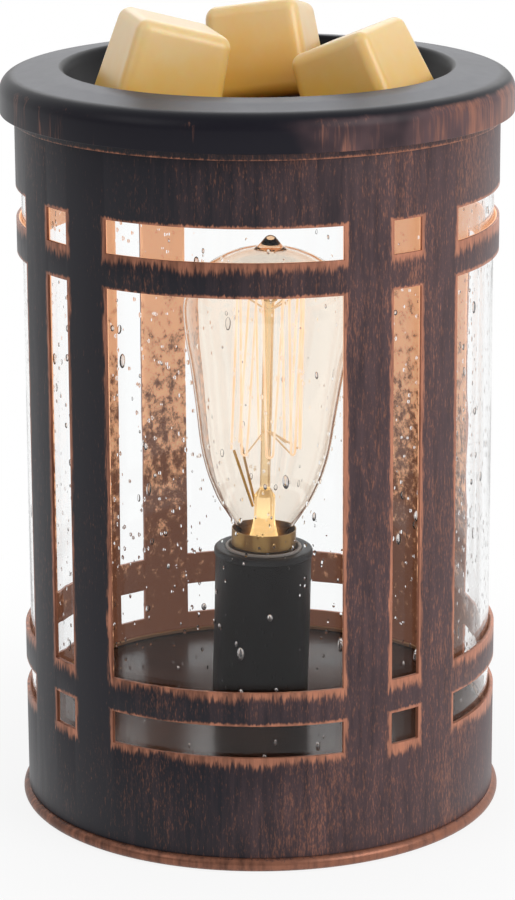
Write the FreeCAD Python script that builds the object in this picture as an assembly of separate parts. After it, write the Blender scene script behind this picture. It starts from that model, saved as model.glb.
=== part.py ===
import FreeCAD, Part
import math
import os

# Candle warmer lamp. All sizes are in millimetres.
# Frame: origin on the table under the lamp's axis, +Z up, a wide window faces -Y, the cord entry +Y.

V = FreeCAD.Vector
UP = V(0, 0, 1)

# Body shell
shell_radius = 61.0
shell_wall = 1.0
shell_bottom = 3.55
shell_top = 187.0
window_count = 4
wide_half_angle = 28.4
narrow_half_angle = 4.0
window_low = 29.8
short_window_height = 8.3
bar_height = 8.6
tall_window_height = 98.9

# Top ring: hem outside the shell, flange over its top edge, lip turned down inside
hem_thickness = 0.35
hem_gap = 0.05
hem_length = 8.1
ring_sheet = 0.8
ring_lip_inset = 4.05
ring_lip_drop = 1.8

# Glass cylinder
glass_gap = 0.35
glass_wall = 2.2
glass_top_gap = 0.3

# Floor pan
floor_top = 25.0
pan_sheet = 1.0
pan_wall_gap = 0.3
glass_rim_gap = 0.45
glass_rim_width = 0.9
glass_rim_height = 1.2
glass_seat_gap = 0.1

# Base pan with its rolled foot bead
bead_radius = 1.7
bead_inset = 0.3
bead_lift = 0.05
base_plate_top = 3.2
base_plate_sheet = 1.0
pan_foot_gap = 0.1

# Foot pads
pad_count = 4
pad_radius = 5.0
pad_inset = 12.0

# Pillars and base screws
pillar_count = 3
pillar_radius = 3.6
pillar_inset = 18.0
pillar_first_angle = 30.0
pillar_end_gap = 0.05
screw_radius = 1.9
screw_hole_gap = 0.15
screw_length = 12.0
screw_head_radius = 3.5
screw_head_height = 1.6
screw_slot_width = 0.9
screw_slot_depth = 0.8
screw_hole_extra = 2.0

# Cord grommet
grommet_height = 14.0
grommet_bore = 3.2
grommet_neck = 4.2
grommet_flange = 6.2
grommet_flange_thickness = 1.5
grommet_fit_gap = 0.1
grommet_face_gap = 0.05
grommet_inner_gap = 0.35

# Nipple, nuts and washer that hold the socket
nipple_radius = 4.9
nipple_bore = 3.4
nipple_low = 17.0
nipple_high = 32.2
nipple_gap = 0.15
nut_across_flats = 13.0
nut_height = 2.6
washer_radius = 7.6
washer_thickness = 0.6
stack_gap = 0.05

# Socket, measured from the floor. It leans a little, as in the photograph.
socket_lean = 1.5
socket_lean_towards = 8.7
socket_lift = 0.42
socket_height = 41.0
socket_radius = 12.5
socket_bore = 10.0
socket_floor = 3.0
socket_rim_swell = 0.35
socket_rim_height = 1.8
socket_edge_radius = 0.8
socket_nipple_hole = 5.4
sleeve_gap = 0.1
sleeve_wall = 0.9
sleeve_low = 11.0
sleeve_proud = 0.45
socket_shell_wall = 0.4
socket_shell_low = 13.0
socket_shell_recess = 1.4
socket_disc_low = 8.4
socket_disc_height = 2.5

# Bulb thread, a standard 17 mm intermediate base
thread_pitch = 2.822
thread_major = 8.27
thread_minor = 7.55
thread_clearance = 0.19
thread_turns = 4.0
ridge_root_width = 1.25
ridge_crest_width = 0.5
ridge_sink = 0.12

# Bulb, measured from the floor
cap_wall = 0.28
cap_low = 25.4
cap_collar_low = 41.4
cap_top = 46.0
cap_collar_radius = 8.35
insulator_low = 22.2
contact_radius = 2.7
contact_low = 21.2
bulb_wall = 0.8
neck_radius = 6.9
neck_low = 32.0
bulb_flank = (
    (6.9, 45.0), (7.35, 46.4), (8.6, 48.3), (10.5, 51.2), (12.2, 54.0), (13.7, 57.4), (15.3, 61.8),
    (16.9, 68.5), (18.2, 78.0), (19.75, 88.5), (21.25, 96.5),
)
bulb_max_radius = 22.0
bulb_max_height = 104.0
bulb_dome_top = 120.4
bulb_tip_height = 123.4
bulb_tip_root_turn = 80.0
bulb_tip_middle_radius = 2.3
bulb_tip_end_radius = 1.3
bulb_tip_end_height = 123.0
stem_gap = 0.25
stem_foot = 1.0
stem_rod_radius = 1.35
stem_press_radius = 2.7
stem_press_low = 49.0
stem_press_top = 55.0
stem_press_height = 57.0
stem_button_radius = 2.15
stem_button_low = 106.0
stem_button_edge = 0.6
stem_top = 108.0
cage_radius = 8.9
cage_low = 67.3
cage_high = 109.0
cage_strands = 8
cage_first_angle = 195.0
filament_radius = 0.28
support_radius = 0.22
support_slope = 4.45
support_root_gap = 0.15
lead_radius = 0.35
lead_low = 52.0

# Socket contact leaf
leaf_width = 4.0
leaf_sheet = 0.5
leaf_gap = 0.05
rivet_radius = 1.2

# Lead wires and terminal block
wire_radius = 0.9
wire_offset = 1.6
wire_bend = 6.0
wire_level = 9.0
wire_top_gap = 0.05
block_length = 14.0
block_width = 17.0
block_height = 9.5
block_near_face = 18.0
pole_offset = 4.3
block_sleeve_radius = 2.0
block_sleeve_bore = 1.35
block_sleeve_gap = 0.1
block_sleeve_recess = 0.5
block_corner = 0.6
block_screw_length = 4.75
wire_in_block = 1.0
clamp_screw_radius = 1.3
clamp_head_radius = 2.1
clamp_screw_spacing = 7.0
clamp_slot_width = 0.45
clamp_head_depth = 1.0
clamp_hole_gap = 0.15

# Wax dish
dish_wall = 2.6
bowl_depth = 17.5
bowl_bend = 25.0
brim_width = 15.8
dish_top = 192.0
brim_fall = 1.5
brim_lip = 1.1
shoulder_radius = 4.3
skirt_low = 181.0
skirt_gap = 0.6
dish_seat_gap = 0.05

# Wax melts. Their places are shares of the bowl's mouth radius.
melt_gap = 0.3
melt_base = 27.5
melt_top = 24.0
melt_height = 24.6
melt_edge = 3.2
left_melt_x_share = -0.42
left_melt_y_share = -0.35
back_melt_x_share = -0.029
back_melt_y_share = 0.434
right_melt_base = 26.5
right_melt_top = 23.0
right_melt_height = 22.2
right_melt_edge = 3.0
right_melt_x_share = 0.551
right_melt_y_share = -0.111
small_melt_base = 11.0
small_melt_top = 10.0
small_melt_height = 6.0
small_melt_edge = 2.0
small_melt_x_share = 0.762
small_melt_y_share = 0.285

# Each melt: its sizes, its place in the bowl, and how far it is turned, leaned and tipped
melts = (
    ((melt_base, melt_top, melt_height, melt_edge),
     (left_melt_x_share, left_melt_y_share), (24.1, 15.2, 1.0)),
    ((melt_base, melt_top, melt_height, melt_edge),
     (back_melt_x_share, back_melt_y_share), (-2.3, -8.5, -11.2)),
    ((right_melt_base, right_melt_top, right_melt_height, right_melt_edge),
     (right_melt_x_share, right_melt_y_share), (-22.8, -22.5, 4.0)),
    ((small_melt_base, small_melt_top, small_melt_height, small_melt_edge),
     (small_melt_x_share, small_melt_y_share), (20.4, -36.0, 0.0)),
)


def face_of(edges):
    return Part.Face(Part.Wire(Part.__sortEdges__(edges)))


def polygon_face(points):
    closed = [V(r, 0, z) for r, z in points]
    closed.append(closed[0])
    return Part.Face(Part.makePolygon(closed))


def turned(points):
    return polygon_face(points).revolve(V(0, 0, 0), UP, 360)


def tube(outer, inner, low, high):
    return turned([(inner, low), (outer, low), (outer, high), (inner, high)])


def rod(radius, low, high, x=0.0, y=0.0):
    return Part.makeCylinder(radius, high - low, V(x, y, low), UP)


def rod_between(radius, start, end):
    run = end - start
    return Part.makeCylinder(radius, run.Length, start, run)


def polar(radius, angle, z=0.0):
    turn = math.radians(angle)
    return V(radius * math.cos(turn), radius * math.sin(turn), z)


def spin(shape, angle):
    turned_shape = shape.copy()
    turned_shape.rotate(V(0, 0, 0), UP, angle)
    return turned_shape


def around(shape, count, first_angle=0.0):
    return [spin(shape, first_angle + index * 360.0 / count) for index in range(count)]


def hexagon(across_flats, low, height, hole):
    corner = across_flats / math.sqrt(3)
    points = [polar(corner, 60.0 * index, low) for index in range(6)]
    prism = Part.Face(Part.makePolygon(points + [points[0]])).extrude(V(0, 0, height))
    return prism.cut(rod(hole, low - 1, low + height + 1))


def save(name, solids):
    shape = solids if isinstance(solids, Part.Shape) else Part.makeCompound(solids)
    shape.exportStep(os.path.join("parts", name + ".step"))
    print(name, len(shape.Solids), round(shape.Volume, 2), shape.isValid())


# Places worked out from the sizes
shell_bore = shell_radius - shell_wall
ring_under = shell_top + stack_gap
ring_over = ring_under + ring_sheet
glass_radius = shell_bore - glass_gap
glass_bore = glass_radius - glass_wall
floor_under = floor_top - pan_sheet
bead_centre_radius = shell_radius - bead_inset
pad_ring_radius = shell_radius - pad_inset
pillar_ring_radius = shell_bore - pillar_inset
base_plate_under = base_plate_top - base_plate_sheet
skirt_bore = shell_radius + hem_gap + hem_thickness + skirt_gap
skirt_radius = skirt_bore + dish_wall
bowl_mouth_radius = skirt_radius - brim_width
window_rows = (
    (window_low, short_window_height),
    (window_low + short_window_height + bar_height, tall_window_height),
    (window_low + short_window_height + 2 * bar_height + tall_window_height, short_window_height),
)
socket_base = floor_top + socket_lift
socket_top = floor_top + socket_height
socket_thread_wall = thread_major + thread_clearance
socket_thread_crest = thread_minor + thread_clearance


def lean(shape):
    # The socket and the bulb stand a touch out of plumb on their nipple
    leaned = shape.copy()
    axis = polar(1, socket_lean_towards + 90)
    leaned.rotate(V(0, 0, floor_top), axis, socket_lean)
    return leaned


def body_shell():
    shell = tube(shell_radius, shell_bore, shell_bottom, shell_top)
    reach = shell_radius + shell_wall
    slices = []
    for low, height in window_rows:
        for half_angle, middle in ((wide_half_angle, 0.0), (narrow_half_angle, 45.0)):
            wedge = Part.makeCylinder(reach, height, V(0, 0, low), UP, 2 * half_angle)
            slices += around(spin(wedge, middle - half_angle), window_count)
    return shell.cut(slices).cut(grommet_hole())


def grommet_hole():
    start = V(0, shell_radius / 2, grommet_height)
    return Part.makeCylinder(grommet_neck, shell_radius, start, V(0, 1, 0))


def top_ring():
    inner = shell_radius + hem_gap
    outer = inner + hem_thickness
    lip = glass_bore - ring_lip_inset
    ring_bore_radius = lip - ring_sheet
    low = shell_top - hem_length
    return turned([
        (inner, low), (outer, low), (outer, ring_over), (ring_bore_radius, ring_over),
        (ring_bore_radius, ring_under - ring_lip_drop), (lip, ring_under - ring_lip_drop),
        (lip, ring_under), (inner, ring_under),
    ])


def glass_cylinder():
    return tube(glass_radius, glass_bore, floor_top + glass_seat_gap, ring_under - glass_top_gap)


def floor_pan():
    wall_outer = shell_bore - pan_wall_gap
    wall_inner = wall_outer - pan_sheet
    rim_outer = glass_bore - glass_rim_gap
    rim_inner = rim_outer - glass_rim_width
    hole = nipple_radius + nipple_gap
    wall_low = base_plate_top + pan_foot_gap
    pan = turned([
        (hole, floor_under), (wall_inner, floor_under), (wall_inner, wall_low), (wall_outer, wall_low),
        (wall_outer, floor_top), (rim_outer, floor_top), (rim_outer, floor_top + glass_rim_height),
        (rim_inner, floor_top + glass_rim_height), (rim_inner, floor_top), (hole, floor_top),
    ])
    return pan.cut(grommet_hole())


def base_pan():
    bead_height = bead_lift + bead_radius
    bead = Part.makeTorus(bead_centre_radius, bead_radius, V(0, 0, bead_height), UP)
    plate = rod(bead_centre_radius, base_plate_under, base_plate_top)
    pan = plate.fuse(bead)
    holes = [rod(screw_radius + screw_hole_gap, 0, base_plate_top + 1, *pillar_place(index)[:2])
             for index in range(pillar_count)]
    holes.append(rod(clamp_screw_radius + screw_hole_gap, 0, base_plate_top + 1, block_middle(), 0))
    return pan.cut(holes)


def pillar_place(index):
    return polar(pillar_ring_radius, pillar_first_angle + index * 360.0 / pillar_count)


def block_middle():
    return block_near_face + block_length / 2


def pillars():
    low = base_plate_top + pillar_end_gap
    high = floor_under - pillar_end_gap
    depth = screw_length - base_plate_sheet + screw_hole_extra
    solids = []
    for index in range(pillar_count):
        place = pillar_place(index)
        hole = rod(screw_radius + screw_hole_gap, low - 1, low + depth, place.x, place.y)
        solids.append(rod(pillar_radius, low, high, place.x, place.y).cut(hole))
    return solids


def screw_from_below(radius, head_radius, head_height, length, place, under):
    head = rod(head_radius, under - head_height, under, place.x, place.y)
    shank = rod(radius, under, under + length, place.x, place.y)
    corner = V(place.x - head_radius, place.y - screw_slot_width / 2, under - head_height)
    slot = Part.makeBox(2 * head_radius, screw_slot_width, screw_slot_depth, corner)
    return head.fuse(shank).cut(slot)


def base_screws():
    return [screw_from_below(screw_radius, screw_head_radius, screw_head_height, screw_length,
                             pillar_place(index), base_plate_under - pillar_end_gap)
            for index in range(pillar_count)]


def foot_pads():
    pad = rod(pad_radius, 0, base_plate_under - pillar_end_gap, pad_ring_radius, 0)
    return around(pad, pad_count, 180.0 / pad_count)


def cord_grommet():
    outer_face = shell_radius + grommet_face_gap
    inner_face = shell_bore - pan_wall_gap - pan_sheet - grommet_inner_gap
    neck = grommet_neck - grommet_fit_gap
    inner_end = inner_face - grommet_flange_thickness
    outer_end = outer_face + grommet_flange_thickness
    outer_edge = outer_face + grommet_flange_thickness / 2
    profile = turned([
        (grommet_bore, inner_end), (grommet_flange, inner_end), (grommet_flange, inner_face),
        (neck, inner_face), (neck, outer_face), (grommet_flange, outer_face),
        (grommet_flange, outer_edge), (grommet_neck, outer_end), (grommet_bore, outer_end),
    ])
    # The profile is turned about +Z and then laid along +Y
    profile.rotate(V(0, 0, 0), V(1, 0, 0), -90)
    profile.translate(V(0, 0, grommet_height))
    return profile


def nipple():
    return tube(nipple_radius, nipple_bore, nipple_low, nipple_high)


def washer_top():
    return floor_under - stack_gap


def lock_washer():
    top = washer_top()
    return tube(washer_radius, nipple_radius + nipple_gap, top - washer_thickness, top)


def nipple_nuts():
    hole = nipple_radius + stack_gap
    lower_top = washer_top() - washer_thickness - stack_gap
    upper_low = socket_base + socket_floor + socket_lift / 2
    return [
        hexagon(nut_across_flats, lower_top - nut_height, nut_height, hole),
        hexagon(nut_across_flats, upper_low, nut_height, hole),
    ]


def socket_housing():
    swell = socket_radius + socket_rim_swell
    rim_low = socket_top - socket_rim_height
    edge = socket_edge_radius
    corner = edge * (1 - math.sqrt(0.5))
    rounding = [
        V(swell, 0, socket_top - edge), V(swell - corner, 0, socket_top - corner),
        V(swell - edge, 0, socket_top),
    ]
    inner_floor = socket_base + socket_floor
    outside = [
        V(socket_nipple_hole, 0, socket_base), V(socket_radius, 0, socket_base),
        V(socket_radius, 0, rim_low - socket_rim_swell), V(swell, 0, rim_low), rounding[0],
    ]
    inside = [
        rounding[2], V(socket_bore, 0, socket_top), V(socket_bore, 0, inner_floor),
        V(socket_nipple_hole, 0, inner_floor), outside[0],
    ]
    edges = [Part.Arc(*rounding).toShape()]
    for line in (outside, inside):
        edges += [Part.LineSegment(a, b).toShape() for a, b in zip(line, line[1:])]
    return face_of(edges).revolve(V(0, 0, 0), UP, 360)


def socket_sleeve():
    outer = socket_bore - sleeve_gap
    return tube(outer, outer - sleeve_wall, floor_top + sleeve_low, socket_top + sleeve_proud)


def helical_ridge(root, crest, low, turns):
    # A ridge of trapezoid section wound on a right-hand helix; it points out or in by its radii
    outward = 1 if crest > root else -1
    sunk = root - outward * ridge_sink
    half_root = ridge_root_width / 2
    half_crest = ridge_crest_width / 2
    corners = [V(sunk, 0, low - half_root), V(crest, 0, low - half_crest),
               V(crest, 0, low + half_crest), V(sunk, 0, low + half_root)]
    profile = Part.makePolygon(corners + [corners[0]])
    spine = Part.makeHelix(thread_pitch, turns * thread_pitch, root)
    spine.translate(V(0, 0, low))
    return Part.Wire(spine).makePipeShell([profile], True, True)


def socket_shell():
    low = floor_top + socket_shell_low
    high = socket_top - socket_shell_recess
    wall = tube(socket_thread_wall + socket_shell_wall, socket_thread_wall, low, high)
    # Half a pitch away from the cap's ridge, so the two run between each other
    ridge_low = thread_start() + thread_pitch / 2
    return wall.fuse(helical_ridge(socket_thread_wall, socket_thread_crest, ridge_low, thread_turns - 1))


def thread_start():
    return floor_top + cap_low + ridge_root_width


def socket_disc():
    low = floor_top + socket_disc_low
    outer = socket_bore - sleeve_gap
    disc = rod(outer, low, low + socket_disc_height)
    return disc.cut(rod(rivet_radius + clamp_hole_gap, low - 1, low + socket_disc_height + 1))


def contact_leaf():
    foot = floor_top + socket_disc_low + socket_disc_height + stack_gap
    top = floor_top + contact_low - leaf_gap
    half = leaf_width / 2
    reach = thread_minor - half
    points = [
        (-reach, foot), (half, foot), (half, foot + leaf_sheet), (half - reach, foot + leaf_sheet),
        (half, top - leaf_sheet), (half, top), (-half, top), (-reach, foot + leaf_sheet),
    ]
    leaf = polygon_face(points).extrude(V(0, leaf_width, 0))
    leaf.translate(V(0, -half, 0))
    hole = rod(rivet_radius + clamp_hole_gap, foot - 1, foot + leaf_sheet, 0, 0)
    return leaf.cut(hole)


def contact_rivet():
    low = floor_top + socket_disc_low
    head = 2 * rivet_radius
    shank = rod(rivet_radius, low - stack_gap, low + socket_disc_height + stack_gap)
    return shank.fuse(rod(head, low - stack_gap - leaf_sheet, low - stack_gap))


def socket_terminals():
    # A strap to the threaded shell on one side and a tab to the rivet on the other, under the disc
    low = floor_top + socket_disc_low - stack_gap - leaf_sheet
    tab = Part.makeBox(leaf_width, leaf_width / 2, leaf_sheet, V(-leaf_width / 2, 0, low))
    solids = []
    for side in (-1, 1):
        piece = tab.copy()
        piece.translate(V(0, side * (2 * rivet_radius + leaf_width / 4 + stack_gap) - leaf_width / 4, 0))
        solids.append(piece)
    return solids


def bulb_cap():
    bottom = floor_top + cap_low
    collar = floor_top + cap_collar_low
    top = floor_top + cap_top
    inner = thread_minor - cap_wall
    wall = turned([
        (inner, bottom), (thread_minor, bottom), (thread_minor, collar - cap_wall),
        (cap_collar_radius, collar + cap_wall), (cap_collar_radius, top),
        (cap_collar_radius - cap_wall, top), (cap_collar_radius - cap_wall, collar + 2 * cap_wall),
        (inner, collar),
    ])
    return wall.fuse(helical_ridge(thread_minor, thread_major, thread_start(), thread_turns))


def bulb_insulator():
    top = floor_top + cap_low
    low = floor_top + insulator_low
    return turned([(0, low), (contact_radius, low), (thread_minor - cap_wall, top - cap_wall),
                   (thread_minor - cap_wall, top + cap_wall), (0, top + cap_wall)])


def bulb_contact():
    low = floor_top + contact_low
    high = floor_top + insulator_low - stack_gap
    return turned([(0, low), (contact_radius / 2, low), (contact_radius, (low + high) / 2),
                   (contact_radius, high), (0, high)])


def bulb_outline(inset, dome_turns):
    # Half outline of the bulb from the neck to the dome, drawn in by the glass's thickness
    points = [V(radius - inset, 0, floor_top + height) for radius, height in bulb_flank]
    points.append(V(bulb_max_radius - inset, 0, floor_top + bulb_max_height))
    rise = bulb_dome_top - inset - bulb_max_height
    for turn in dome_turns:
        angle = math.radians(turn)
        out = (bulb_max_radius - inset) * math.cos(angle)
        points.append(V(out, 0, floor_top + bulb_max_height + rise * math.sin(angle)))
    return points


def bulb_glass():
    low = floor_top + neck_low
    outer = bulb_outline(0, (30, 52, bulb_tip_root_turn))
    inner = bulb_outline(bulb_wall, (30, 52, bulb_tip_root_turn))
    crown = V(0, 0, inner[-1].z)
    tip = floor_top + bulb_tip_height
    tip_end = floor_top + bulb_tip_end_height
    # The exhaust tip is a short drawn point melted on to the dome
    corners = [
        outer[-1], V(bulb_tip_middle_radius, 0, (outer[-1].z + tip_end) / 2),
        V(bulb_tip_end_radius, 0, tip_end), V(0, 0, tip), crown, inner[-1],
    ]
    outside = Part.BSplineCurve()
    outside.interpolate(Points=outer)
    inside = Part.BSplineCurve()
    inside.interpolate(Points=inner)
    mouth = [inner[0], V(inner[0].x, 0, low), V(outer[0].x, 0, low), outer[0]]
    edges = [outside.toShape(), inside.toShape()]
    for line in (corners, mouth):
        edges += [Part.LineSegment(a, b).toShape() for a, b in zip(line, line[1:])]
    return face_of(edges).revolve(V(0, 0, 0), UP, 360)


def bulb_stem():
    low = floor_top + neck_low
    flare = neck_radius - bulb_wall - stem_gap
    button = floor_top + stem_button_low
    high = floor_top + stem_top
    return turned([
        (0, low), (flare, low), (flare, low + stem_foot),
        (stem_press_radius, floor_top + stem_press_low), (stem_press_radius, floor_top + stem_press_top),
        (stem_rod_radius, floor_top + stem_press_height), (stem_rod_radius, button),
        (stem_button_radius, button + stem_button_edge), (stem_button_radius, high - stem_button_edge),
        (stem_rod_radius, high), (0, high),
    ])


def cage_points():
    # Hooks round the rod, high and low by turns, open at the first and the last
    points = []
    for index in range(2 * cage_strands - 1):
        angle = cage_first_angle + index * 360.0 / (2 * cage_strands)
        height = cage_low if index % 2 == 0 else cage_high
        points.append(polar(cage_radius, angle, floor_top + height))
    return points


def bulb_filament():
    points = cage_points()
    runs = [rod_between(filament_radius, a, b) for a, b in zip(points, points[1:])]
    knots = [Part.makeSphere(filament_radius, point) for point in points]
    return runs[0].fuse(runs[1:] + knots)


def bulb_supports():
    # A wire from the rod to each hook inside the cage
    solids = []
    for point in cage_points()[1:-1]:
        outward = V(point.x, point.y, 0).normalize()
        start = outward * (stem_rod_radius + support_root_gap) + V(0, 0, root_height(point.z))
        end = outward * (cage_radius - filament_radius - support_radius) + V(0, 0, point.z)
        solids.append(rod_between(support_radius, start, end))
    return solids


def root_height(hook):
    middle = floor_top + (cage_low + cage_high) / 2
    return hook - support_slope if hook > middle else hook + support_slope


def bulb_leads():
    points = cage_points()
    solids = []
    for end in (points[0], points[-1]):
        outward = V(end.x, end.y, 0).normalize()
        start = outward * (stem_press_radius + stack_gap + lead_radius) + V(0, 0, floor_top + lead_low)
        stop = outward * (cage_radius - filament_radius - lead_radius) + V(0, 0, end.z - filament_radius)
        solids.append(rod_between(lead_radius, start, stop))
    return solids


def lead_wires():
    # Down the nipple, round one bend and level to the terminal block
    top = floor_top + socket_disc_low - stack_gap - leaf_sheet - wire_top_gap
    solids = []
    for side in (-1, 1):
        start = V(0, side * wire_offset, top)
        mouth = V(block_near_face + wire_in_block, side * pole_offset, wire_level)
        level = V(mouth.x, mouth.y - start.y, 0)
        heading = V(level.x, level.y, 0).normalize()
        bend_top = V(start.x, start.y, wire_level + wire_bend)
        centre = bend_top + heading * wire_bend
        lowest = V(centre.x, centre.y, wire_level)
        middle = centre - (heading + UP) * (wire_bend * math.sqrt(0.5))
        path = Part.Wire([
            Part.LineSegment(start, bend_top).toShape(),
            Part.Arc(bend_top, middle, lowest).toShape(),
            Part.LineSegment(lowest, mouth).toShape(),
        ])
        section = Part.Wire(Part.makeCircle(wire_radius, start, UP))
        solids.append(path.makePipeShell([section], True, True))
    return solids


def pole_holes(radius, start, end):
    return [Part.makeCylinder(radius, end - start, V(start, side * pole_offset, wire_level), V(1, 0, 0))
            for side in (-1, 1)]


def clamp_places():
    return [(block_middle() + across * clamp_screw_spacing / 2, side * pole_offset)
            for across in (-1, 1) for side in (-1, 1)]


def terminal_block():
    low = base_plate_top + pillar_end_gap
    corner = V(block_near_face, -block_width / 2, low)
    box = Part.makeBox(block_length, block_width, block_height, corner)
    box = box.makeFillet(block_corner, box.Edges)
    far_face = block_near_face + block_length
    cuts = pole_holes(block_sleeve_radius + block_sleeve_gap, block_near_face - 1, far_face + 1)
    top = low + block_height
    hole = clamp_head_radius + clamp_hole_gap
    cuts += [rod(hole, wire_level, top + 1, x, y) for x, y in clamp_places()]
    screw_hole = clamp_screw_radius + clamp_hole_gap
    cuts.append(rod(screw_hole, low - 1, low + block_screw_length + 1, block_middle(), 0))
    return box.cut(cuts)


def terminal_sleeves():
    start = block_near_face + block_sleeve_recess
    end = block_near_face + block_length - block_sleeve_recess
    top = wire_level + 2 * block_sleeve_radius
    solids = []
    for side in (-1, 1):
        middle = V(start, side * pole_offset, wire_level)
        sleeve = Part.makeCylinder(block_sleeve_radius, end - start, middle, V(1, 0, 0))
        bore = Part.makeCylinder(block_sleeve_bore, end - start + 2, middle - V(1, 0, 0), V(1, 0, 0))
        screw_holes = [rod(clamp_screw_radius + clamp_hole_gap, wire_level, top, x, y)
                       for x, y in clamp_places() if y * side > 0]
        solids.append(sleeve.cut([bore] + screw_holes))
    return solids


def terminal_screws():
    top = base_plate_top + block_height - clamp_head_depth
    head_low = wire_level + block_sleeve_radius + block_sleeve_gap
    tip = wire_level + block_sleeve_bore - clamp_hole_gap
    solids = []
    for x, y in clamp_places():
        shank = rod(clamp_screw_radius, tip, head_low, x, y)
        head = rod(clamp_head_radius, head_low, top, x, y)
        corner = V(x - clamp_head_radius, y - clamp_slot_width / 2, top - screw_slot_depth)
        slot = Part.makeBox(2 * clamp_head_radius, clamp_slot_width, screw_slot_depth, corner)
        solids.append(shank.fuse(head).cut(slot))
    return solids


def block_screw():
    return screw_from_below(clamp_screw_radius, 2 * clamp_screw_radius, screw_head_height,
                            block_screw_length, V(block_middle(), 0, 0), base_plate_under - pillar_end_gap)


def bowl_centre():
    # The bowl's side is one arc between its flat floor and the mouth
    rise = bowl_bend - bowl_depth
    across = math.sqrt(bowl_bend ** 2 - rise ** 2)
    return bowl_mouth_radius - across, dish_top + rise


def arc_about(centre, radius, first, last):
    points = [V(centre[0] + radius * math.sin(turn), 0, centre[1] - radius * math.cos(turn))
              for turn in (first, (first + last) / 2, last)]
    return Part.Arc(*points).toShape(), points[0], points[-1]


def wax_dish():
    centre = bowl_centre()
    seat = ring_over + dish_seat_gap
    outer_bend = bowl_bend + dish_wall
    under = centre[1] - outer_bend
    floor = centre[1] - bowl_bend
    outer_turn = math.acos((centre[1] - seat) / outer_bend)
    outer_edge, outer_start, outer_end = arc_about(centre, outer_bend, 0, outer_turn)
    inner_turn = math.acos((centre[1] - dish_top + brim_lip) / bowl_bend)
    inner_edge, inner_start, inner_end = arc_about(centre, bowl_bend, 0, inner_turn)
    lip_top = V(bowl_mouth_radius + brim_lip, 0, dish_top)
    lip_middle = V(inner_end.x + brim_lip / 3, 0, dish_top - brim_lip / 4)
    brim_end = V(skirt_radius - shoulder_radius, 0, dish_top - brim_fall)
    side_top = V(skirt_radius, 0, dish_top - brim_fall - shoulder_radius)
    turn_in = shoulder_radius * (1 - math.sqrt(0.5))
    shoulder_middle = V(skirt_radius - turn_in, 0, dish_top - brim_fall - turn_in)
    edges = [
        Part.LineSegment(V(0, 0, under), outer_start).toShape(),
        outer_edge,
        Part.LineSegment(outer_end, V(skirt_bore, 0, seat)).toShape(),
        Part.LineSegment(V(skirt_bore, 0, seat), V(skirt_bore, 0, skirt_low)).toShape(),
        Part.LineSegment(V(skirt_bore, 0, skirt_low), V(skirt_radius, 0, skirt_low)).toShape(),
        Part.LineSegment(V(skirt_radius, 0, skirt_low), side_top).toShape(),
        Part.Arc(side_top, shoulder_middle, brim_end).toShape(),
        Part.LineSegment(brim_end, lip_top).toShape(),
        Part.Arc(lip_top, lip_middle, inner_end).toShape(),
        inner_edge,
        Part.LineSegment(inner_start, V(0, 0, floor)).toShape(),
        Part.LineSegment(V(0, 0, floor), V(0, 0, under)).toShape(),
    ]
    return face_of(edges).revolve(V(0, 0, 0), UP, 360)


def melt_core(base, top, height, edge):
    # Centres of the eight rounded corners
    corners = []
    for side, level in ((base / 2 - edge, edge - height / 2), (top / 2 - edge, height / 2 - edge)):
        corners += [V(side * a, side * b, level) for a, b in ((-1, -1), (1, -1), (1, 1), (-1, 1))]
    return corners


def seat_height(points, edge):
    # The lift that brings the lowest rounded corner to rest on the bowl
    centre = bowl_centre()
    reach = bowl_bend - edge - melt_gap
    lifts = []
    for point in points:
        out = max(0.0, math.hypot(point.x, point.y) - centre[0])
        lifts.append(centre[1] - math.sqrt(reach ** 2 - out ** 2) - point.z)
    return max(lifts)


def wax_melt(sizes, place, turns):
    base, top, height, edge = sizes
    x, y = [share * bowl_mouth_radius for share in place]
    turn, tilt, tip = turns
    squares = []
    for side, level in ((base / 2, -height / 2), (top / 2, height / 2)):
        corners = [V(side * a, side * b, level) for a, b in ((-1, -1), (1, -1), (1, 1), (-1, 1))]
        squares.append(Part.makePolygon(corners + [corners[0]]))
    block = Part.makeLoft(squares, True, True)
    block = block.makeFillet(edge, block.Edges)
    pose = FreeCAD.Placement(V(x, y, 0), FreeCAD.Rotation(turn, tilt, tip))
    points = [pose.multVec(corner) for corner in melt_core(base, top, height, edge)]
    block.Placement = FreeCAD.Placement(V(x, y, seat_height(points, edge)), FreeCAD.Rotation(turn, tilt, tip))
    return block


os.makedirs("parts", exist_ok=True)

save("body_shell", body_shell())
save("top_ring", top_ring())
save("glass_cylinder", glass_cylinder())
save("floor_pan", floor_pan())
save("base_pan", base_pan())
save("pillars", pillars())
save("base_screws", base_screws())
save("foot_pads", foot_pads())
save("cord_grommet", cord_grommet())
save("nipple", nipple())
save("lock_washer", lock_washer())
save("nipple_nuts", nipple_nuts())
save("lead_wires", lead_wires())
save("terminal_block", terminal_block())
save("terminal_sleeves", terminal_sleeves())
save("terminal_screws", terminal_screws())
save("block_screw", block_screw())
save("wax_dish", wax_dish())

leaning = {
    "socket_housing": socket_housing, "socket_sleeve": socket_sleeve, "socket_shell": socket_shell,
    "socket_disc": socket_disc, "contact_leaf": contact_leaf, "contact_rivet": contact_rivet,
    "socket_terminals": socket_terminals, "bulb_cap": bulb_cap, "bulb_insulator": bulb_insulator,
    "bulb_contact": bulb_contact, "bulb_glass": bulb_glass, "bulb_stem": bulb_stem,
    "bulb_filament": bulb_filament, "bulb_supports": bulb_supports, "bulb_leads": bulb_leads,
}
for name, make in leaning.items():
    made = make()
    pieces = made if isinstance(made, list) else [made]
    save(name, [lean(piece) for piece in pieces])

for number, melt in enumerate(melts, 1):
    save("wax_melt_%d" % number, wax_melt(*melt))
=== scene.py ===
import math
import random

import bpy
from bpy.props import FloatProperty, FloatVectorProperty, IntProperty, PointerProperty
from mathutils import Matrix, Vector


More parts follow.
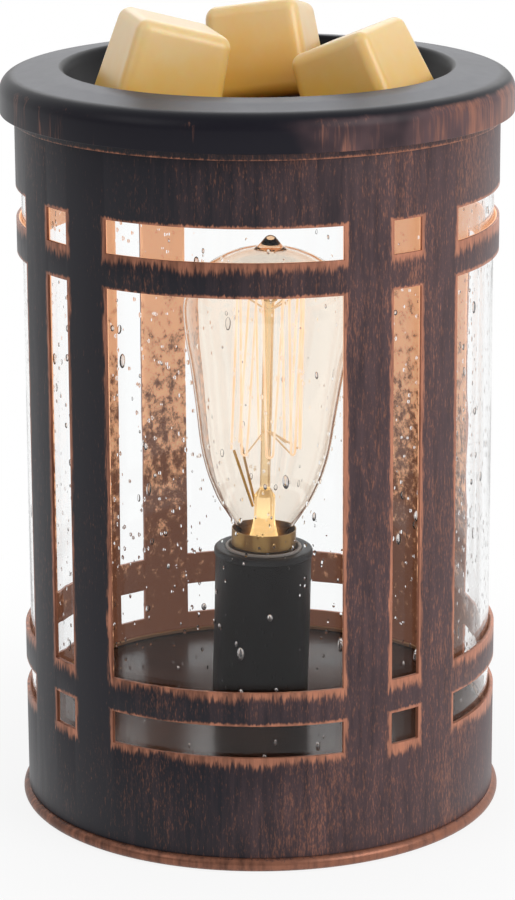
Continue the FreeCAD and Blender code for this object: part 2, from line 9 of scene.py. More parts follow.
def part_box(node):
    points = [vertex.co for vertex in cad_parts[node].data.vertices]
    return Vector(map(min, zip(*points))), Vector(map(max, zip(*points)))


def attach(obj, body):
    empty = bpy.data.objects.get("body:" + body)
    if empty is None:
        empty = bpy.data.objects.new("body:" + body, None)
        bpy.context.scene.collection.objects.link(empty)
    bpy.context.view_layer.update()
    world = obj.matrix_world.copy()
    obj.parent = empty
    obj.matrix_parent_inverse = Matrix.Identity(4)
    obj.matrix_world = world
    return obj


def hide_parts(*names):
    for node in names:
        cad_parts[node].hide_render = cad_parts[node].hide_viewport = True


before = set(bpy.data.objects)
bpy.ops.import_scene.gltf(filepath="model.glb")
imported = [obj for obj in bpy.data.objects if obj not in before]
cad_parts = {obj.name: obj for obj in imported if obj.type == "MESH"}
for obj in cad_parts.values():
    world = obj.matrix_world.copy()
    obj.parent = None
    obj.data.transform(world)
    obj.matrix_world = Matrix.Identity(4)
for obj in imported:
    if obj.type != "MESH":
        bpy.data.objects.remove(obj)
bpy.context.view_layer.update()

bl_info = {
    "name": "Candle warmer lamp",
    "version": (1, 0, 0),
    "blender": (4, 5, 0),
    "location": "3D View > Sidebar > Warmer lamp",
    "description": "Models and dresses a lantern-style candle warmer lamp",
    "category": "Object",
}

MM = 0.001

# Corners of the CAD nodes that pieces are fitted to, in metres
shell_low, shell_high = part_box("body_shell")
ring_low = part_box("top_ring")[0]
glass_low, glass_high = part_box("glass_cylinder")

FLOOR = 25.0 * MM

# The shell's windows: their heights in millimetres, and their half widths as angles in degrees
WINDOW_ROWS = ((29.8, 38.1), (46.7, 145.6), (154.2, 162.5))
WIDE_HALF_ANGLE = 28.4
NARROW_HALF_ANGLE = 4.0
BAY_ANGLE = 90.0

# How far, and towards which side, the socket and the bulb lean
LEAN = math.radians(1.5)
LEAN_TOWARDS = math.radians(8.7)

# The hole for the cord's grommet, in millimetres
ENTRY_RADIUS = 4.2
ENTRY_HEIGHT = 14.0

# The bulb's side as (radius, height over the floor plate), in millimetres
BULB_FLANK = ((6.9, 45.0), (7.35, 46.4), (8.6, 48.3), (10.5, 51.2), (12.2, 54.0), (13.7, 57.4), (15.3, 61.8),
              (16.9, 68.5), (18.2, 78.0), (19.75, 88.5), (21.25, 96.5), (22.0, 104.0))
BULB_DOME = 120.4
BULB_TIP = ((3.2, 120.6), (2.4, 121.5), (1.7, 122.4), (1.15, 123.0), (0.55, 123.3), (0.0, 123.4))


# Modelling helpers: each one works as the tools in the viewport do

def clear_selection():
    if bpy.context.mode != "OBJECT":
        bpy.ops.object.mode_set(mode="OBJECT")
    bpy.ops.object.select_all(action="DESELECT")


def activate(piece):
    clear_selection()
    piece.select_set(True)
    bpy.context.view_layer.objects.active = piece


def finish_piece(piece, name, body, material, replaced=()):
    """Names and dresses a piece, and ties it to the body that it moves with."""
    activate(piece)
    bpy.ops.object.transform_apply(location=True, rotation=True, scale=True)
    piece.name = name
    piece.data.name = name
    piece.data.materials.clear()
    piece.data.materials.append(material)
    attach(piece, body)
    if replaced:
        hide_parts(*replaced)


def drawn(points):
    """Draws a run of edges through points in space, from one vertex."""
    clear_selection()
    bpy.ops.mesh.primitive_plane_add(size=MM, location=(0, 0, 0))
    bpy.ops.object.mode_set(mode="EDIT")
    bpy.ops.mesh.select_all(action="SELECT")
    bpy.ops.mesh.merge(type="CENTER")
    bpy.ops.transform.translate(value=points[0])
    for before, after in zip(points, points[1:]):
        step = tuple(b - a for a, b in zip(before, after))
        bpy.ops.mesh.extrude_region_move(TRANSFORM_OT_translate={"value": step})
    bpy.ops.object.mode_set(mode="OBJECT")
    return bpy.context.object


def weld(threshold=2e-6):
    """Merges the active piece's doubled vertices and turns its faces outwards."""
    bpy.ops.object.mode_set(mode="EDIT")
    bpy.ops.mesh.select_all(action="SELECT")
    bpy.ops.mesh.remove_doubles(threshold=threshold)
    bpy.ops.mesh.normals_make_consistent(inside=False)
    bpy.ops.object.mode_set(mode="OBJECT")


def turned(points, steps, smooth_angle=35.0):
    """Spins a profile of (radius, height) points about the lamp's axis."""
    piece = drawn([(radius, 0, height) for radius, height in points])
    bpy.ops.object.mode_set(mode="EDIT")
    bpy.ops.mesh.select_all(action="SELECT")
    bpy.ops.mesh.spin(steps=steps, angle=math.tau, center=(0, 0, 0), axis=(0, 0, 1))
    bpy.ops.object.mode_set(mode="OBJECT")
    weld()
    activate(piece)
    bpy.ops.object.shade_smooth_by_angle(angle=math.radians(smooth_angle))
    return piece


def closed(points):
    """Ends a profile where it starts."""
    return list(points) + [points[0]]


def lean_piece(piece):
    """Tips a piece as the socket and the bulb stand in their nipple."""
    activate(piece)
    axis = Vector((-math.sin(LEAN_TOWARDS), math.cos(LEAN_TOWARDS), 0))
    up, down = (Matrix.Translation((0, 0, way * FLOOR)) for way in (1, -1))
    piece.matrix_world = up @ Matrix.Rotation(LEAN, 4, axis) @ down
    bpy.ops.object.transform_apply(location=True, rotation=True, scale=True)


def apply_modifier(piece, kind, **choices):
    activate(piece)
    modifier = piece.modifiers.new(kind.title(), kind)
    for key, value in choices.items():
        setattr(modifier, key, value)
    bpy.ops.object.modifier_apply(modifier=modifier.name)


def cut_cord_entry(piece):
    """Drills the hole for the cord's grommet through the back of a piece."""
    length, back = 30.0, 60.0
    clear_selection()
    bpy.ops.mesh.primitive_cylinder_add(
        vertices=48, radius=ENTRY_RADIUS * MM, depth=length * MM,
        location=(0, back * MM, ENTRY_HEIGHT * MM), rotation=(math.pi / 2, 0, 0))
    drill = bpy.context.object
    apply_modifier(piece, "BOOLEAN", object=drill, operation="DIFFERENCE", solver="EXACT")
    activate(drill)
    bpy.ops.object.delete()
    activate(piece)


def arc(cx, cz, radius, start, end, steps):
    """Points on an arc; angles in degrees from +X towards +Z."""
    turns = [math.radians(start + (end - start) * i / steps) for i in range(steps + 1)]
    return [(cx + radius * math.cos(t), cz + radius * math.sin(t)) for t in turns]


def in_mm(points):
    """Brings a profile that is given in millimetres to metres."""
    return [(r * MM, z * MM) for r, z in points]


def smooth_run(points, per_span):
    """A Catmull-Rom run through the points, so that the bulb's side has no kinks."""
    ends = [tuple(2 * a - b for a, b in zip(points[0], points[1]))] + list(points)
    ends.append(tuple(2 * a - b for a, b in zip(points[-1], points[-2])))
    run = []
    for i in range(1, len(ends) - 2):
        corners = list(zip(*ends[i - 1:i + 3]))
        for step in range(per_span):
            t = step / per_span
            run.append(tuple(
                0.5 * (2 * b + (c - a) * t + (2 * a - 5 * b + 4 * c - d) * t * t
                       + (3 * b - a - 3 * c + d) * t ** 3)
                for a, b, c, d in corners))
    return run + [points[-1]]


def shade(colour, share=1.0):
    """A colour as a plain tuple, with a share of its brightness."""
    return tuple(share * part for part in colour)


# Materials, which are built node by node

class Signal:
    """A socket that holds a number; sums of signals add Math nodes."""

    def __init__(self, finish, socket):
        self.finish = finish
        self.socket = socket

    def _math(self, operation, *values):
        node = self.finish.node("ShaderNodeMath", {"operation": operation}, dict(enumerate(values)))
        return Signal(self.finish, node.outputs[0])

    def __add__(self, other):
        return self._math("ADD", self, other)

    def __sub__(self, other):
        return self._math("SUBTRACT", self, other)

    def __rsub__(self, other):
        return self._math("SUBTRACT", other, self)

    def __mul__(self, other):
        return self._math("MULTIPLY", self, other)

    def __pow__(self, other):
        return self._math("POWER", self, other)

    def __abs__(self):
        return self._math("ABSOLUTE", self)

    def least(self, other):
        return self._math("MINIMUM", self, other)

    def most(self, other):
        return self._math("MAXIMUM", self, other)

    def remainder(self, other):
        return self._math("FLOORED_MODULO", self, other)

    def ramp(self, low, high, start=0.0, end=1.0):
        """Runs smoothly from start to end as the signal goes from low to high."""
        node = self.finish.node(
            "ShaderNodeMapRange", {"interpolation_type": "SMOOTHSTEP", "clamp": True},
            {"Value": self, "From Min": low, "From Max": high, "To Min": start, "To Max": end})
        return Signal(self.finish, node.outputs[0])


class NodeBoard:
    """A node tree that is built node by node."""

    def __init__(self, tree):
        self.tree = tree
        tree.nodes.clear()

    def node(self, kind, choices=None, inputs=None):
        """Adds a node; an input is a number, a colour, a socket or a signal."""
        made = self.tree.nodes.new(kind)
        for key, value in (choices or {}).items():
            setattr(made, key, value)
        for key, value in (inputs or {}).items():
            socket = value.socket if isinstance(value, Signal) else value
            if isinstance(socket, bpy.types.NodeSocket):
                self.tree.links.new(socket, made.inputs[key])
            else:
                made.inputs[key].default_value = socket
        return made

    def blend(self, share, first, second):
        """Mixes two shaders by a share of the second."""
        return self.node("ShaderNodeMixShader", {}, {0: share, 1: first.outputs[0], 2: second.outputs[0]})


class Finish(NodeBoard):
    """One procedural material, in the place of the piece that wears it."""

    def __init__(self, name):
        self.material = bpy.data.materials.new(name)
        self.material.use_nodes = True
        super().__init__(self.material.node_tree)
        self.output = self.node("ShaderNodeOutputMaterial")
        self.place = self.node("ShaderNodeTexCoord").outputs["Object"]
        apart = self.node("ShaderNodeSeparateXYZ", {}, {0: self.place})
        self.x, self.y, self.z = (Signal(self, apart.outputs[i]) for i in range(3))

    def radius(self):
        """The distance from the lamp's axis, in metres."""
        return ((self.x * self.x) + (self.y * self.y)) ** 0.5

    def angle_round(self):
        """The angle round the lamp's axis, in degrees."""
        made = self.node("ShaderNodeMath", {"operation": "ARCTAN2"}, {0: self.y, 1: self.x})
        return Signal(self, made.outputs[0]) * (180.0 / math.pi)

    def spot(self, squash, shift):
        """The place, stretched and shifted, where a texture is read."""
        made = self.node("ShaderNodeMapping", {}, {
            "Vector": self.place, "Location": (shift, shift, shift), "Scale": squash})
        return made.outputs[0]

    def noise(self, scale, squash=(1, 1, 1), detail=3.0, roughness=0.55, shift=0.0):
        """Clouds of so many to the metre; a squash below 1 draws them out that way."""
        made = self.node("ShaderNodeTexNoise", {}, {
            "Vector": self.spot(squash, shift), "Scale": scale, "Detail": detail, "Roughness": roughness})
        return Signal(self, made.outputs[0])

    def cells(self, scale, squash=(1, 1, 1), shift=0.0):
        """Distance to the nearest of many scattered points."""
        made = self.node("ShaderNodeTexVoronoi", {"feature": "F1"}, {
            "Vector": self.spot(squash, shift), "Scale": scale, "Randomness": 1.0})
        return Signal(self, made.outputs["Distance"])

    def mix(self, share, under, over):
        def colour(value):
            return (*value, 1.0) if isinstance(value, tuple) and len(value) == 3 else value
        made = self.node("ShaderNodeMix", {"data_type": "RGBA"},
                         {0: share, 6: colour(under), 7: colour(over)})
        return made.outputs[2]

    def bump(self, height, depth, strength=1.0):
        made = self.node("ShaderNodeBump", {}, {"Height": height, "Distance": depth, "Strength": strength})
        return made.outputs[0]

    def surface(self, **sockets):
        inputs = {}
        for key, value in sockets.items():
            name = key.replace("_", " ").title().replace("Ior", "IOR")
            if isinstance(value, tuple) and len(value) == 3 and "Radius" not in name:
                value = (*value, 1.0)
            inputs[name] = value
        shader = self.node("ShaderNodeBsdfPrincipled", {}, inputs)
        self.tree.links.new(shader.outputs[0], self.output.inputs[0])
        return self.material


def window_distance(finish, radius):
    """Distance to the nearest window edge, in metres, on the curved shell."""
    half_bay = BAY_ANGLE / 2
    below_share, above_share = 0.42, 1.4
    folded = abs((finish.angle_round() + half_bay).remainder(BAY_ANGLE) - half_bay)
    arc_length = math.radians(1.0) * radius
    across = ((folded - WIDE_HALF_ANGLE).least((half_bay - NARROW_HALF_ANGLE) - folded)) * arc_length
    up = None
    for low, high in WINDOW_ROWS:
        # Paint is rubbed off further below a window than above it
        part = ((low * MM - finish.z) * below_share).most((finish.z - high * MM) * above_share)
        up = part if up is None else up.least(part)
    return across.most(up)


def rubbed_and_sheened_metal(name, edge, copper_share, amount, inside=None):
    """Dark paint with short upright specks rubbed through to copper, more so near an edge and on +X; towards
    +X, the key lamp's side, the paint and the copper are painted paler as a sheen.
    """
    own = settings()
    base, rub, sheen_tint = shade(own.bronze), shade(own.copper, copper_share), shade(own.bronze_sheen)
    black = (0.0, 0.0, 0.0)
    finish = Finish(name)
    fine = finish.noise(2000.0, (1, 1, 0.16), 3.0, 0.65)
    speck = finish.noise(3400.0, (1, 1, 0.25), 2.0, 0.6, 0.3)
    broad = finish.noise(520.0, (1, 1, 0.10), 3.0, 0.6, 0.3)
    patch = finish.noise(34.0, (1, 1, 0.6), 3.0, 0.6, 0.7)
    ragged = finish.noise(1300.0, (1, 1, 0.12), 3.0, 0.7, 0.9)
    # side runs from -X to +X, the key lamp's side; where it adds or lightens paint and copper, that is
    # painted sheen
    side = (finish.x + (patch - 0.5) * (50.0 * MM)).ramp(-45.0 * MM, 62.0 * MM)
    near_edge = edge(finish)
    reach = near_edge + (ragged - 0.5) * (3.0 * MM) + (patch - 0.5) * (2.6 * MM) - side * (0.25 * MM)
    fringe = reach.ramp(0.2 * MM, 1.1 * MM, 1.0, 0.0) * (broad * 0.9 + 0.4).least(1.0)
    line = (abs(near_edge) + (patch - 0.42) * (1.6 * MM)).ramp(0.1 * MM, 0.4 * MM, 0.75, 0.0)
    level = fine * 0.55 + speck * 0.45 + (patch - 0.5) * 0.30 + side * 0.06
    streak = level.ramp(0.54 - amount, 0.74 - amount) * (side * 0.15 + 0.50)
    copper = fringe.most(streak).most(line)
    # Painted sheen: the paint is paler towards +X, mottled by broad clouds
    sheened_paint = finish.mix((side * 0.75 + (broad - 0.5) * 0.9).ramp(0.05, 0.95), base, sheen_tint)
    # Lit and shaded copies of the copper: paler in clouds, near edges and, as a painted highlight, towards
    # +X
    metal = finish.mix((broad * 0.5 + side * 0.25 + fringe * 0.25).ramp(0.30, 0.72), shade(rub, 0.45), rub)
    colour, glow = finish.mix(copper, sheened_paint, metal), black
    if inside is not None:
        # The shell's inner side gets painted bulb light: its colour is painted paler upwards, and its glow
        # is a painted glow that stands for the bulb's light
        within = finish.radius().ramp(inside, inside + 0.05 * MM, 1.0, 0.0)
        grain = finish.noise(420.0, (1, 1, 0.8), 4.0, 0.7, 0.2)
        grain_and_bulb_light = (grain + (finish.z - 0.080) * 4.0).ramp(0.40, 0.66)
        lining = finish.mix(grain_and_bulb_light, (0.17, 0.066, 0.036), (0.90, 0.47, 0.26))
        colour = finish.mix(within, colour, lining)
        glow = finish.mix(within * 0.58, black, lining)
    return finish.surface(
        base_color=colour,
        metallic=copper * 0.55,
        roughness=copper * -0.05 + 0.42 + (broad - 0.5) * 0.14,
        specular_ior_level=0.22,
        emission_color=glow,
        emission_strength=1.0,
        normal=finish.bump(copper * 0.6 + fine * 0.35, 0.03 * MM, 0.4),
    )


class LampSettings(bpy.types.PropertyGroup):
    turn_steps: IntProperty(name="Turn steps", description="Steps round each turned piece",
                            default=256, min=64)
    bubble_count: IntProperty(name="Bubbles", description="Drawn-out bubbles in the glass",
                              default=420, min=0)
    copper: FloatVectorProperty(name="Copper", description="Metal where the paint is rubbed off",
                                subtype="COLOR", size=3, default=(0.56, 0.235, 0.145))
    bronze: FloatVectorProperty(name="Bronze paint", description="Dark paint on the shell",
                                subtype="COLOR", size=3, default=(0.0125, 0.0115, 0.0175))
    # Painted sheen: the dark paint drawn paler where the key lamp's light falls, towards +X
    bronze_sheen: FloatVectorProperty(name="Painted sheen", description="Paler patches of the paint",
                                     subtype="COLOR", size=3, default=(0.098, 0.058, 0.062))
    charcoal: FloatVectorProperty(name="Charcoal", description="Satin paint on the dish's brim",
                                  subtype="COLOR", size=3, default=(0.056, 0.060, 0.078))
    wax: FloatVectorProperty(name="Wax", description="Colour of the wax melts",
                             subtype="COLOR", size=3, default=(0.92, 0.53, 0.10))
    floor_shade: FloatProperty(name="Floor shade", description="Paleness of the studio floor",
                               default=0.86, min=0.0, max=1.0, subtype="FACTOR")


def settings():
    return bpy.context.scene.warmer_lamp


class WARMER_OT_shell(bpy.types.Operator):
    """Models the windowed body shell from a tube cut on its window lines."""
    bl_idname = "warmer.shell"
    bl_label = "Body shell"

    def execute(self, context):
        wall, lining_depth, edge_bevel = 1.0, 0.7, 0.14
        half_bay = BAY_ANGLE / 2
        radius = shell_high.x
        clear_selection()
        bpy.ops.mesh.primitive_cylinder_add(
            vertices=360, radius=radius, depth=shell_high.z - shell_low.z, end_fill_type="NOTHING",
            location=(0, 0, (shell_high.z + shell_low.z) / 2))
        shell = bpy.context.object
        bpy.ops.object.transform_apply(location=True, rotation=True, scale=True)
        bpy.ops.object.mode_set(mode="EDIT")
        cuts = []
        for turn in (WIDE_HALF_ANGLE, BAY_ANGLE - WIDE_HALF_ANGLE,
                     half_bay - NARROW_HALF_ANGLE, half_bay + NARROW_HALF_ANGLE):
            for side in (-1, 1):
                across = (-math.sin(math.radians(side * turn)), math.cos(math.radians(turn)), 0)
                cuts.append(((0, 0, 0), across))
        for row in WINDOW_ROWS:
            for level in row:
                cuts.append(((0, 0, level * MM), (0, 0, 1)))
        for place, across in cuts:
            bpy.ops.mesh.select_all(action="SELECT")
            bpy.ops.mesh.bisect(plane_co=place, plane_no=across)
        bpy.ops.mesh.select_mode(type="FACE")
        bpy.ops.mesh.select_all(action="DESELECT")
        bpy.ops.object.mode_set(mode="OBJECT")
        for face in shell.data.polygons:
            spot = face.center
            turn = abs((math.degrees(math.atan2(spot.y, spot.x)) + half_bay) % BAY_ANGLE - half_bay)
            in_row = any(low * MM < spot.z < high * MM for low, high in WINDOW_ROWS)
            face.select = in_row and (turn < WIDE_HALF_ANGLE or turn > half_bay - NARROW_HALF_ANGLE)
        bpy.ops.object.mode_set(mode="EDIT")
        bpy.ops.mesh.delete(type="FACE")
        bpy.ops.mesh.select_mode(type="VERT")
        bpy.ops.object.mode_set(mode="OBJECT")
        apply_modifier(shell, "SOLIDIFY", thickness=wall * MM, offset=-1.0, use_even_offset=True)
        cut_cord_entry(shell)
        apply_modifier(shell, "BEVEL", width=edge_bevel * MM, segments=2, limit_method="ANGLE",
                       angle_limit=math.radians(50))
        activate(shell)
        bpy.ops.object.shade_smooth_by_angle(angle=math.radians(35))
        # The shell's paint is worn, with painted sheen towards +X and painted bulb light on its inner side
        material = rubbed_and_sheened_metal("worn_bronze_sheen_and_bulb_glow", lambda f: window_distance(f, radius), 1.0, 0.0,
                                radius - lining_depth * MM)
        finish_piece(shell, "lamp_shell", "lamp_body", material, ("body_shell",))
        return {"FINISHED"}


class WARMER_OT_ring(bpy.types.Operator):
    """Turns the ring that carries the dish: a thin hem, a flat top and an inner lip."""
    bl_idname = "warmer.ring"
    bl_label = "Top ring"

    def execute(self, context):
        inner, outer, hem_low, top = 61.05, 61.4, 179.0, 187.85
        mouth, lip_low, wall, corner, hem_roll = 52.6, 185.25, 0.8, 0.25, 0.175
        ledge = top - wall
        profile = [(inner, hem_low)] + arc(inner + hem_roll, hem_low + 0.075, hem_roll, 180, 360, 6)
        profile += [(outer, top - corner)] + arc(outer - corner, top - corner, corner, 0, 90, 4)
        profile += [(mouth + 0.2, top), (mouth, top - 0.2), (mouth, lip_low), (mouth + wall, lip_low),
                    (mouth + wall, ledge), (inner, ledge)]
        ring = turned(closed(in_mm(profile)), settings().turn_steps)
        low = ring_low.z
        # The ring's paint is worn, with painted sheen towards +X
        material = rubbed_and_sheened_metal("worn_ring_and_sheen", lambda f: abs(f.z - low) * 1.6 + 0.25 * MM, 0.8, 0.02)
        finish_piece(ring, "top_hem", "lamp_body", material, ("top_ring",))
        return {"FINISHED"}


class WARMER_OT_foot(bpy.types.Operator):
    """Turns the base plate with its rolled foot bead, and the floor pan inside the shell."""
    bl_idname = "warmer.foot"
    bl_label = "Foot and floor"

    def execute(self, context):
        steps = settings().turn_steps
        plate_low, plate_top = 2.2, 3.2
        bead = arc(60.7, 1.75, 1.7, 121.5, -195.3, 22)
        foot = turned(in_mm([(0.0, plate_top)] + bead + [(0.0, plate_low)]), steps)
        worn_height, worn_half = 1.9 * MM, 1.1 * MM
        # The foot's paint is worn, with painted sheen towards +X
        material = rubbed_and_sheened_metal("worn_foot_and_sheen", lambda f: abs(f.z - worn_height) - worn_half, 0.62, 0.03)
        finish_piece(foot, "foot_bead", "lamp_body", material, ("base_pan",))

        hole, skirt_in, skirt_out, skirt_low = 5.05, 58.7, 59.7, 3.3
        plate_low, plate_top, rim_in, rim_out, rim_top, corner = 24.0, 25.0, 56.1, 57.0, 26.2, 0.2
        floor = turned(closed(in_mm([
            (hole, plate_low), (skirt_in, plate_low), (skirt_in, skirt_low), (skirt_out, skirt_low),
            (skirt_out, plate_top - corner), (skirt_out - corner, plate_top), (rim_out, plate_top),
            (rim_out, rim_top - corner), (rim_out - corner, rim_top), (rim_in + corner, rim_top),
            (rim_in, rim_top - corner), (rim_in, plate_top), (hole, plate_top)])), steps)
        cut_cord_entry(floor)
        finish = Finish("dark_floor")
        cloud = finish.noise(60.0)
        outside = finish.radius().ramp((rim_in - 0.1) * MM, rim_in * MM)
        rim = outside * finish.z.ramp((plate_top + 0.2) * MM, (plate_top + 0.4) * MM)
        tray = finish.mix(cloud.ramp(0.35, 0.7), (0.045, 0.026, 0.023), (0.10, 0.052, 0.038))
        material = finish.surface(
            base_color=finish.mix(rim, tray, (0.62, 0.36, 0.18)),
            metallic=0.25, roughness=cloud * 0.12 + 0.16, specular_ior_level=0.35)
        finish_piece(floor, "floor_plate", "lamp_body", material, ("floor_pan",))
        return {"FINISHED"}


class WARMER_OT_glass(bpy.types.Operator):
    """Turns the glass cylinder and scatters drawn-out bubbles in its wall."""
    bl_idname = "warmer.glass"
    bl_label = "Seeded glass"

    def execute(self, context):
        own = settings()
        wall, lip, bands = 2.2, 0.5, 12
        outer, inner = glass_high.x / MM, glass_high.x / MM - wall
        low, high = glass_low.z / MM, glass_high.z / MM
        levels = [low + lip + (high - low - 2 * lip) * i / bands for i in range(bands + 1)]
        profile = [(outer, z) for z in levels] + arc(outer - lip, high - lip, lip, 0, 90, 3)[1:]
        profile += arc(inner + lip, high - lip, lip, 90, 180, 3)
        profile += [(inner, z) for z in reversed(levels)][1:]
        profile += arc(inner + lip, low + lip, lip, 180, 270, 3)[1:]
        profile += arc(outer - lip, low + lip, lip, 270, 360, 3)[:-1]
        glass = turned(closed(in_mm(profile)), own.turn_steps, 60)
        finish = Finish("seeded_glass_clear")
        wave = finish.noise(55.0, (1, 1, 0.35), 2.0, 0.5)
        seed = finish.cells(420.0, (1, 1, 0.6)).ramp(0.04, 0.17, 1.0, 0.0)
        # A low index keeps the white studio from greying what lies behind the glass
        material = finish.surface(
            base_color=(0.985, 0.99, 0.99), roughness=0.0, ior=1.25, transmission_weight=1.0,
            normal=finish.bump(wave * 0.7 + seed * 0.45, 0.35 * MM, 0.5))
        finish_piece(glass, "glass_sleeve", "lamp_body", material, ("glass_cylinder",))
        self.scatter_bubbles(own.bubble_count, (outer + inner) / 2 * MM)
        return {"FINISHED"}

    def scatter_bubbles(self, count, middle):
        """Sets air bubbles of many sizes into the glass, on either side of its middle radius."""
        sizes = (0.16, 0.18, 0.20, 0.24, 0.28, 0.34, 0.42, 0.52, 0.66, 0.85)
        deepest, margin = 0.60, 4.0 * MM
        draw = random.Random(7)
        bubbles = []
        for _ in range(count):
            size = draw.choice(sizes)
            long = size * draw.uniform(1.3, 2.3)
            turn = draw.uniform(0, math.tau)
            level = draw.uniform(glass_low.z + margin, glass_high.z - margin)
            out = middle + draw.uniform(-0.35, 0.35) * MM
            bpy.ops.mesh.primitive_uv_sphere_add(
                segments=10, ring_count=7, radius=MM,
                location=(out * math.cos(turn), out * math.sin(turn), level),
                rotation=(draw.uniform(-0.12, 0.12), 0, turn))
            drop = bpy.context.object
            drop.scale = (min(size, deepest), size, long)
            bubbles.append(drop)
        if not bubbles:
            return
        clear_selection()
        for drop in bubbles:
            drop.select_set(True)
        bpy.context.view_layer.objects.active = bubbles[0]
        bpy.ops.object.transform_apply(location=True, rotation=True, scale=True)
        bpy.ops.object.join()
        seeds = bpy.context.object
        activate(seeds)
        bpy.ops.object.shade_smooth()
        air_in_glass = 0.69
        material = Finish("bubble_air").surface(
            base_color=(1.0, 1.0, 1.0), roughness=0.0, ior=air_in_glass, transmission_weight=1.0)
        finish_piece(seeds, "glass_bubbles", "lamp_body", material)


class WARMER_OT_dish(bpy.types.Operator):
    """Turns the lift-off wax dish with its satin brim and glossy bowl."""
    bl_idname = "warmer.dish"
    bl_label = "Wax dish"

    def execute(self, context):
        top, bend, depth, mouth, wall = 192.0, 25.0, 17.5, 48.8, 2.6
        lip, seat, skirt_in, skirt_low, hem = 1.1, 187.9, 62.0, 181.0, 0.3
        shoulder_middle, shoulder_height, shoulder_bend = 60.3, 186.2, 4.3
        rise = bend - depth
        cx = mouth - math.sqrt(bend ** 2 - rise ** 2)
        cz = top + rise
        last = math.degrees(math.acos((cz - seat) / (bend + wall)))
        inner_last = math.degrees(math.acos((cz - top + lip) / bend))
        under = arc(cx, cz, bend + wall, -90, -90 + last, 14)
        bowl = arc(cx, cz, bend, -90 + inner_last, -90, 18)
        # The lip rolls from the bowl to the brim on a quadratic curve
        lip_end, pull = (mouth + lip, top), (mouth + 0.25, top - 0.1)
        lip_mid = [tuple(a * (1 - t) ** 2 + 2 * t * (1 - t) * b + t * t * c
                         for a, b, c in zip(bowl[0], pull, lip_end)) for t in (0.25, 0.5, 0.75)]
        shoulder = arc(shoulder_middle, shoulder_height, shoulder_bend, 90, 0, 12)
        profile = [(0.0, cz - bend - wall)] + under
        profile += [(skirt_in, seat), (skirt_in, skirt_low + 0.15), (skirt_in + 0.15, skirt_low),
                    (64.3, skirt_low)]
        profile += arc(64.3, skirt_low + hem, hem, 270, 360, 4)[1:] + shoulder[::-1]
        profile += [(55.0, 191.3), lip_end] + lip_mid[::-1] + bowl + [(0.0, cz - bend)]
        dish = turned(in_mm(profile), settings().turn_steps)
        finish_piece(dish, "dish_bowl", "dish", self.paint(), ("wax_dish",))
        return {"FINISHED"}

    def paint(self):
        """Glossy black in the bowl, charcoal on the brim and rubbed copper on the skirt, whose paint gets a
        painted sheen towards +X.
        """
        own = settings()
        finish = Finish("dish_paint_and_sheen")
        fine = finish.noise(1500.0, (1, 1, 0.06), 4.0, 0.6)
        broad = finish.noise(300.0, (1, 1, 0.12), 4.0, 0.6, 0.4)
        patch = finish.noise(45.0, (1, 1, 0.8), 3.0, 0.55, 0.8)
        radius = finish.radius()
        on_skirt = (radius + (broad - 0.5) * (0.8 * MM)).ramp(63.2 * MM, 64.1 * MM)
        on_shoulder = radius.ramp(60.2 * MM, 61.8 * MM)
        in_bowl = radius.ramp(49.3 * MM, 49.9 * MM, 1.0, 0.0)
        # side runs towards +X, the key lamp's side; the paler skirt there is painted sheen
        side = (finish.x + (patch - 0.5) * (60.0 * MM)).ramp(-10.0 * MM, 50.0 * MM)
        worn = (fine * 0.5 + broad * 0.5 + (patch - 0.5) * 0.9 + side * 0.10).ramp(0.58, 0.82)
        copper = on_skirt * worn * 0.55
        brim = finish.mix(patch.ramp(0.3, 0.7), shade(own.charcoal, 0.85), shade(own.charcoal))
        upper = finish.mix(on_shoulder, brim, (0.012, 0.012, 0.017))
        inner = finish.mix(in_bowl, upper, (0.006, 0.006, 0.008))
        # Painted sheen: the skirt's paint is paler towards +X, mottled by clouds
        sheened_paint = finish.mix((side * 0.7 + (patch - 0.5) * 1.6).ramp(0.1, 0.9),
                          shade(own.bronze), shade(own.bronze_sheen, 1.25))
        rubbed = finish.mix(broad.ramp(0.35, 0.65), shade(own.copper, 0.5), shade(own.copper, 0.9))
        return finish.surface(
            base_color=finish.mix(copper, finish.mix(on_skirt, inner, sheened_paint), rubbed),
            metallic=copper * 0.5,
            specular_ior_level=0.14,
            roughness=in_bowl * 0.06 + 0.36 + (broad - 0.5) * 0.06,
            normal=finish.bump(copper + fine * 0.3, 0.04 * MM, 0.4))


